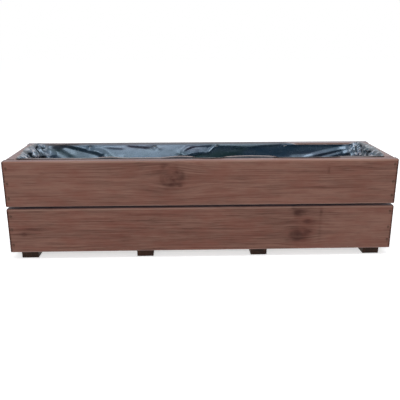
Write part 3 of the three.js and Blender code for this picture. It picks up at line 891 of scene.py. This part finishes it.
# The film's line at the rim: straight walls and quarter rounds, with the way inwards, which aims
# at the nearest point of the trough's middle line.
def rimLine(s):
    longSide, shortSide, bend = film["halfLong"], film["halfWide"], film["cornerRound"]
    starts = np.array([0, 2 * longSide, 2 * longSide + 2 * shortSide, 4 * longSide + 2 * shortSide])
    signs = np.array([(-1, -1), (1, -1), (1, 1), (-1, 1)])
    edges = signs * [longSide, shortSide]
    ways = np.array([(1, 0), (0, 1), (-1, 0), (0, -1)])
    which = np.searchsorted(starts, s, side="right") - 1
    point = edges[which] + ways[which] * (s - starts[which])[:, None]
    for quarter, (start, edge, sign) in enumerate(zip(starts, edges, signs)):
        off = aroundFrom(start, s)
        angle = (quarter - 2 + (off / bend + 1) / 2) * math.pi / 2
        arc = edge - sign * bend + bend * np.stack([np.cos(angle), np.sin(angle)], axis=1)
        point = np.where((np.abs(off) < bend)[:, None], arc, point)
    target = np.stack([np.clip(point[:, 0], -film["medialEnd"], film["medialEnd"]), np.zeros(len(s))], axis=1)
    inward = target - point
    return point, inward / np.linalg.norm(inward, axis=1)[:, None], target


# A table of (along, value) for each wall becomes one smooth value round the rim.
def aroundRim(tables, s):
    rows = []
    for wall in ("front", "right", "back", "left"):
        rows += sorted((roundRim(wall, along), value) for along, value in tables[wall])
    return np.interp(s, *zip(*rows), period=rimLength())


# One ridge on the unrolled film: full height on its line, falling straight to nothing at above
# and below, fading at its ends, with its crest slightly rounded.
def ridge(s, depth, wall, first, last, bow, high, above, below):
    start = roundRim(wall, first[0])
    ds, dd = aroundFrom(start, s), depth - first[1]
    run, drop = aroundFrom(start, roundRim(wall, last[0])), last[1] - first[1]
    length = math.hypot(run, drop)
    upS, upD = (-drop, run) if run < 0 else (drop, -run)
    upS, upD = upS / length, upD / length
    t = (ds * run + dd * drop) / length ** 2
    held = np.clip(t, 0, 1)
    curve = bow * 4 * held * (1 - held)
    awayS = ds - held * run - curve * upS
    awayD = dd - held * drop - curve * upD
    past = np.hypot(awayS, awayD)
    distance = np.where(awayS * upS + awayD * upD > 0, past / above, past / below)
    shape = np.clip(1 - np.sqrt(distance ** 2 + 0.01) + 0.1, 0, 1)
    fade = smoothStep(-0.06, 0.12, t) * smoothStep(-0.06, 0.12, 1 - t)
    return high * shape * (0.35 + 0.65 * fade)


# Smaller folds that spread from every pin but the back ones, and slack ones lower down.
def smallFolds(seed):
    draw = np.random.default_rng(seed)
    found = []
    for wall in ("front", "left", "right"):
        for place in pins[wall]:
            for turn in np.linspace(-1.1, 1.1, 6) + draw.uniform(-0.16, 0.16, 6):
                reach = draw.uniform(24, 90)
                start = (place + draw.uniform(-4, 4), 2 + draw.uniform(0, 6))
                finish = (start[0] + math.sin(turn) * reach * 1.5, start[1] + math.cos(turn) * reach)
                found.append((wall, start, finish, draw.uniform(-3, 3), draw.uniform(0.5, 1.6), 9, 7))
    for wall, half, count in (("front", 440, 34), ("back", 440, 30), ("left", 80, 9), ("right", 80, 9)):
        for _ in range(count):
            start = (draw.uniform(-half, half), draw.uniform(46, 170))
            turn = draw.choice([-1, 1]) * draw.uniform(0.3, 1.3)
            reach = draw.uniform(40, 120)
            finish = (start[0] + math.sin(turn) * reach, min(205, start[1] + math.cos(turn) * reach))
            found.append((wall, start, finish, draw.uniform(-6, 6), draw.uniform(1.5, 5.0),
                          draw.uniform(12, 30), draw.uniform(8, 20)))
    return found


# Short sharp creases: the valleys of three layers of stretched noise, along the film.
def crumple(s, depth, seed):
    total = 0.0
    for size, weight, slant in ((46, 1.0, 0.5), (22, 0.5, -0.7), (11, 0.22, 0.3)):
        a, b = (s + slant * depth) / size, (depth - slant * s * 0.3) / (size * 0.7)
        total = total + weight * (1 - 2.4 * np.abs(softNoise(a, b, 0.0, seed + size)))
    return total


# Crushed film: ridges with sharp tops at four sizes, each (size, height) in mm, slanting in turn.
def shards(s, depth, seed):
    total = 0.0
    for size, high, slant in ((44, 7.5, 0.9), (25, 5.6, -0.8), (14, 3.0, 0.6), (8, 0.9, -0.5)):
        a, b = (s + slant * depth) / size, (depth - slant * s) / size
        total = total + high * (1 - 3.2 * np.abs(softNoise(a, b, 0.0, seed + size)))
    return total


# How far in the film has to stand to pass each batten: out of the batten's box by the nearer side.
def battenNeed(rimPoint, inward):
    away = np.abs(rimPoint) - np.array([film["battenSide"], film["battenFace"]])
    pull = np.maximum(-inward * np.sign(rimPoint), 1e-3)
    need = np.where((away > 0).all(axis=1), (away / pull).min(axis=1), 0)
    eased = [np.roll(need, shift) * smoothStep(10, 0, abs(shift)) for shift in range(-9, 10)]
    return np.maximum.reduce(eased)


# The rows: from the hem's cut edge over the rounded edge, and down the wall to the floor's bend.
# The number is the length along the boards' outline, up and over from where the edge's round starts.
def filmRows(s, hemReach):
    hemRows = np.linspace(1, 0, film["hemRows"] + 1)[:-1]
    upper = np.arange(0, film["shownDepth"], film["rowStep"])
    lowest = rimTop - film["floorHigh"] - film["arris"] - film["floorRound"]
    wallRows = np.concatenate([upper, np.linspace(film["shownDepth"], lowest, film["lowerRows"])])
    down = np.broadcast_to(wallRows[:, None], (len(wallRows), len(s)))
    return np.concatenate([hemRows[:, None] * hemReach[None], -down])


# How far the film stands off the boards, in mm: its lean from the rim, the battens it passes, the
# folds, the creases and the crushed ends, all pulled in at the pins and held under a limit.
def standOff(s, depth, rimPoint, inward, atEnd, broken):
    grid = np.broadcast_to(s[None], depth.shape)
    leaning = aroundRim(leans, s)[None] * np.clip(depth, 0, 110)
    foot = 12 + 8 * softNoise(s / 90, 0.2, 0.9, 33)[None]
    low = smoothStep(110, rimTop - film["floorHigh"] - 10, depth)
    off = leaning * (1 - low) + foot * low
    need, besideBatten = battenNeed(rimPoint, inward)[None], film["battenTop"] - 2
    off = np.maximum(off, need * np.clip(depth / besideBatten, 0, 1))
    for fold in folds + smallFolds(5):
        off = off + ridge(grid, depth, *fold)
    quiet = 0.08 + 0.5 * atEnd + 0.6 * smoothStep(40, 100, depth)
    off = off + quiet * np.maximum(crumple(grid, depth, 9) + 0.4, 0) * smoothStep(-14, 6, depth)
    off = off + atEnd * np.maximum(broken, 0) * smoothStep(-8, 10, depth) * smoothStep(190, 110, depth)
    ripple = np.maximum(0, softNoise(grid / 13, depth / 8, grid / 26, 44) + 0.1)
    off = off + smoothStep(2, -5, depth) * (0.1 + (0.2 + 1.6 * atEnd) * ripple)
    for wall, places in pins.items():
        for place in places:
            away = np.hypot(grid - roundRim(wall, place), depth - film["pinDepth"])
            off = off * (1 - np.exp(-(away / film["pinReach"]) ** 2))
    isMiddle = onLongWall(rimPoint) & (np.abs(rimPoint[:, 0]) < film["endZone"])
    limit = np.where(isMiddle, film["deepest"], film["deepestEnd"])[None]
    off = np.minimum(off, limit - 3 + 3 * np.tanh((off - limit + 3) / 3))
    return np.maximum(off, need * (depth > besideBatten))


def onLongWall(rimPoint):
    return np.abs(rimPoint[:, 1]) > film["halfWide"] - 3


# What the material reads: painted shade in creases, the cut edge's painted highlight and shadow,
# the part over the rim, then the painted lilac sheen patches and the painted crease highlight.
def filmMarksAndPaintedLight(s, run, depth, hemReach, atEnd, broken):
    grid = np.broadcast_to(s[None], run.shape)
    # painted shade in the valleys of the crushed film
    paintedCreaseShade = atEnd * smoothStep(0.6, -1.2, broken) * smoothStep(190, 110, depth)
    # the cut edge's mask, for its painted highlight and, at the ends, the painted shadow under it
    cutEdgePaintedLight = np.where(run > 0, smoothStep(2.4 + 2 * atEnd, 0.8 + atEnd, hemReach[None] - run), 0)
    onRim = smoothStep(0, 4, run) * (1 - 0.8 * atEnd)
    # patches of painted lilac sheen
    lilac = np.zeros(run.shape)
    for wall, place, deep, halfLength, halfDepth, strength in paintedSheenTints:
        away = np.hypot((grid - roundRim(wall, place)) / halfLength, (depth - deep) / halfDepth)
        lilac = np.maximum(lilac, strength * np.exp(-away ** 2))
    # the mask of the painted crease highlight
    creaseHighlight = ridge(grid, depth, *highlightCreaseLine)
    return np.stack([paintedCreaseShade, cutEdgePaintedLight, onRim], axis=-1), np.stack([lilac, creaseHighlight, 0 * lilac], axis=-1)


# The boards' outline, up the wall, round the edge and out over the top, with the film off it.
# Where the hem stands up, the last of it curls in. Returns how far in and how high each point is.
def filmOutline(s, run, depth, off, hemReach, atEnd):
    bend, startZ = film["arris"], rimTop - film["arris"]
    turn = np.clip(run / bend, 0, math.pi / 2)
    beyond = np.maximum(run - bend * math.pi / 2, 0)
    upright = aroundRim(uprights, s)[None] * (run > 0)
    curl = film["hemCurl"] * upright * smoothStep(3.0, 0.0, hemReach[None] - run)
    out = (bend * (1 - np.cos(turn)) + beyond) * (1 - upright)
    overEdge = startZ + np.where(run > 0, bend * np.sin(turn), run)
    standing = startZ + run - 0.5 * curl
    normalIn = np.cos(turn) * (1 - upright) + upright
    normalUp = np.sin(turn) * (1 - upright)
    sideways = 0.0
    for place, half, high in standOffs:
        away = np.clip(np.abs(s - roundRim("front", place)) / half, 0, 1)[None]
        sideways = sideways + high * np.cos(away * math.pi / 2) ** 2 * smoothStep(60, 6, depth)
    reach = off * normalIn - out + sideways + curl
    raised = np.minimum(off + film["clear"], film["hemLift"] + 1.2 * atEnd) * normalUp
    return reach, overEdge * (1 - upright) + standing * upright + raised


# The middle line, opened to half circles round the drain holes.
def drainRims(target, rimPoint):
    finish = target.copy()
    for hole in drainPlaces():
        away = target[:, 0] - hole
        across = (np.abs(away) <= film["drainRadius"]) & onLongWall(rimPoint)
        half = np.sqrt(np.maximum(film["drainRadius"] ** 2 - away ** 2, 0))
        finish[:, 1] = np.where(across, np.sign(rimPoint[:, 1]) * half, finish[:, 1])
    return finish


# The floor, from the wall's last points to the middle line or a drain hole's rim.
def filmFloor(edge, finish):
    shares = np.linspace(0, 1, film["floorRows"] + 1)[1:, None] ** 0.9
    flat = edge[None, :, :2] * (1 - shares[..., None]) + finish[None] * shares[..., None]
    lift = 1.6 * np.maximum(0, crumple(flat[..., 0], flat[..., 1] + 300, 17)) * smoothStep(0, 0.3, shares)
    toHole = np.abs(flat[..., None, 0] - drainPlaces()).min(axis=-1)
    lift = lift * smoothStep(7, 30, np.hypot(toHole, flat[..., 1]))
    height = film["floorHigh"] + (edge[None, :, 2] - film["floorHigh"]) * (1 - shares) ** 2 + lift
    return np.concatenate([flat, height[..., None]], axis=-1)


def makeFilmPoints():
    s = filmColumns()
    rimPoint, inward, target = rimLine(s)
    atEnd = smoothStep(*film["crushed"], np.abs(rimPoint[:, 0]))
    jag = 2.4 * softNoise(s / 17, 0.3, 0.7, 71) + 1.6 * softNoise(s / 6, 0.3, 0.7, 72)
    hemReach = np.maximum(aroundRim(hems, s) + (0.16 + 0.9 * atEnd) * jag, 0.5)
    atEnd = atEnd[None]
    run = filmRows(s, hemReach)
    depth = film["arris"] - run
    broken = shards(s[None], depth, 23)
    off = np.maximum(standOff(s, depth, rimPoint, inward, atEnd, broken), 0)
    reach, height = filmOutline(s, run, depth, off, hemReach, atEnd)
    turn = np.linspace(0, math.pi / 2, film["bendRows"] + 1)[1:, None]
    reach = np.concatenate([reach, reach[-1:] + film["floorRound"] * (1 - np.cos(turn))])
    height = np.concatenate([height, height[-1:] - film["floorRound"] * np.sin(turn)])
    wall = np.concatenate([rimPoint[None] + inward[None] * reach[..., None], height[..., None]], axis=-1)
    points = np.concatenate([wall, filmFloor(wall[-1], drainRims(target, rimPoint))]) * mm
    below = len(points) - len(run)
    depth = np.pad(depth, ((0, below), (0, 0)), constant_values=film["belowAll"])
    place = [np.broadcast_to(value, depth.shape) for value in (s[None] * mm, depth * mm, atEnd)]
    marksAndPaintedLight, tint = filmMarksAndPaintedLight(s, run, depth[:len(run)], hemReach, atEnd, broken)
    padding = ((0, below), (0, 0), (0, 0))
    marksAndPaintedLight, tint = np.pad(marksAndPaintedLight, padding), np.pad(tint, padding)
    return points, {"unrolled": np.stack(place, axis=-1), "marksAndPaintedLight": marksAndPaintedLight, "tint": tint}


def makeFilm(material, staples):
    points, attributes = makeFilmPoints()
    mesh = gridMesh("liner_film", points, attributes)
    piece = addPiece("liner_film", mesh, material, ["liner"])
    wall = piece.modifiers.new("wall", "SOLIDIFY")
    wall.thickness = film["thick"] * mm
    wall.offset = 1.0


staple = {
    "crown": 10.0,  # mm, across
    "leg": 7.0,
    "wide": 1.1,  # flat wire
    "thick": 0.7,
    "bend": 0.8,
    "lift": 1.9,  # the crown's middle, off the board
    "tilt": 0.35,  # radians, the most that one is turned
    "sharpAngle": 40,
}


# Flat wire carried along a U: up one leg, round a bend, along the crown and down the other leg.
def staplePath():
    half, bend = staple["crown"] / 2, staple["bend"]
    turn = np.linspace(0, math.pi / 2, 5)
    rise = np.stack([-half + bend * (1 - np.cos(turn)), -bend * (1 - np.sin(turn))], axis=1)
    side = np.concatenate([[[-half, -staple["leg"]]], rise])
    return np.concatenate([side, side[::-1] * [-1, 1]])


# The wire's rings of eight points, as (along the crown, across the wire, off the board) in mm.
def stapleWireRings():
    path = staplePath()
    ahead = np.gradient(path, axis=0)
    ahead /= np.linalg.norm(ahead, axis=1)[:, None]
    across = np.stack([-ahead[:, 1], ahead[:, 0]], axis=1)
    angle = np.linspace(0, 2 * math.pi, 9)[:-1] + math.pi / 8
    wide, thick = staple["wide"] / 2 * np.cos(angle), staple["thick"] / 2 * np.sin(angle)
    full = np.array([0.0] + [1.0] * len(path) + [0.0])[:, None]  # 0 where the wire's ends close
    rows = np.pad(np.arange(len(path)), 1, mode="edge")
    flat = path[rows][:, None] + across[rows][:, None] * (thick[None] * full)[..., None]
    return np.stack([flat[..., 0], wide[None] * full, flat[..., 1]], axis=-1)


def makeStaples(material):
    local = stapleWireRings()
    draw = np.random.default_rng(3)
    shells = []
    facing = {"front": (0, 1, 0), "back": (0, -1, 0), "left": (1, 0, 0), "right": (-1, 0, 0)}
    for wall, places in pins.items():
        inward = np.array(facing[wall], dtype=float)
        along = np.abs(inward[[1, 0, 2]])
        up = np.cross(inward, along)
        start = -inward * [film["halfLong"], film["halfWide"], 0] + inward * (staple["lift"] - film["clear"])
        for place in places:
            tilt = draw.uniform(-staple["tilt"], staple["tilt"])
            level = along * math.cos(tilt) + up * math.sin(tilt)
            upright = -along * math.sin(tilt) + up * math.cos(tilt)
            centre = start + along * place + np.array([0, 0, rimTop - film["pinDepth"]])
            turned = local[..., :1] * level + local[..., 1:2] * upright + local[..., 2:] * inward
            shells.append(centre + turned)
    mesh = gridMesh("liner_staples", np.array(shells) * mm)
    editMesh(mesh, turnOut)
    keepCorners(mesh, staple["sharpAngle"])
    return addPiece("liner_staples", mesh, material)


filmLook = {
    # the sky tone is a painted reflection of the sky on the film
    "green": (44, 66, 68), "blue": (40, 62, 80), "lilac": (90, 80, 96), "paintedSkyGloss": (96, 110, 124),
    # the near-black crease tone is painted shade in the crushed film's valleys
    "dust": (110, 114, 118), "crushedPale": (196, 190, 194), "paintedCreaseShade": (12, 13, 16),
    "onRim": (92, 82, 78),  # over the wood, which shows through
    # the cut edge's tone is a painted highlight, the stretched tone a painted crease highlight, and the gap
    # tone a painted shadow under the curled hem
    "cutEdgePaintedLight": (168, 150, 144), "creaseHighlight": (196, 218, 236), "gap": (18, 13, 12),
}


def filmMaterial():
    material, tree, shader = newMaterial("darkPolytheneFilm")
    tone = {key: screen(*color) for key, color in filmLook.items()}
    unrolled = attribute(tree, "unrolled", "Vector")
    place = Value(add(tree, "TexCoord").outputs["Object"])
    pale = place.cloud(22.0, scale=(0.6, 1, 1.6))
    hue = place.cloud(13.0, distortion=0.5, scale=(0.7, 1, 1.8), shift=(4, 2, 7))
    dust = place.cloud(90.0, 1.0)
    atEnds = unrolled.separate()[2]
    paintedCreaseShade, cutEdgePaintedLight, onRim = attribute(tree, "marksAndPaintedLight", "Vector").separate()
    lilac, creaseHighlight = attribute(tree, "tint", "Vector").separate()[:2]
    color = hue.spread(0.36, 0.5).mix(tone["green"], tone["blue"])
    # the painted lilac sheen, in patches
    color = (lilac * hue.spread(0.3, 0.55, 0.4, 1.0)).mix(color, tone["lilac"])
    # pale blue-grey patches: a painted reflection of the sky
    color = pale.spread(0.4, 0.75, 0.0, 0.4).mix(color, tone["paintedSkyGloss"])
    color = dust.spread(0.55, 0.8, 0.0, 0.1).mix(color, tone["dust"])
    # the crushed ends: pale patches from noise, and painted shade in the valleys
    crushedPale = place.cloud(130.0, 3.0, 0.6, scale=(1, 1, 1), shift=(9, 4, 1))
    color = (crushedPale.spread(0.5, 0.62, 0.0, 0.75) * atEnds).mix(color, tone["crushedPale"])
    # painted shade, near black, in the crushed film's valleys
    color = paintedCreaseShade.mix(color, tone["paintedCreaseShade"])
    color = (onRim * 0.8).mix(color, tone["onRim"])
    # painted highlight along the hem's cut edge
    color = (cutEdgePaintedLight * 0.8).mix(color, tone["cutEdgePaintedLight"])
    # painted highlight along the sharp crease
    color = creaseHighlight.spread(0.2, 0.7).mix(color, tone["creaseHighlight"])
    # painted shadow dots in the gap under the curled hem at the crushed ends
    color = (cutEdgePaintedLight * atEnds * crushedPale.spread(0.44, 0.52)).mix(color, tone["gap"])
    wrinkle = unrolled.cloud(1.0, 1.0, distortion=0.6, scale=(30, 60, 40))
    feed(shader, {
        "Base Color": color,
        "Roughness": pale * 0.12 + 0.2 + dust.spread(0.5, 0.8) * 0.05 + onRim * 0.5,
        "Normal": bumps(wrinkle, 0.12, 0.6 * mm),
        "IOR": 1.55,
        "Specular IOR Level": 1.0,
        "Specular Tint": (0.62, 0.8, 1.0, 1),
    })
    return material


stapleWire = metalMaterial("brightStapleWire", (196, 196, 196), (150, 150, 152), 0.22)
makeFilm(filmMaterial(), makeStaples(stapleWire))
print("liner done")
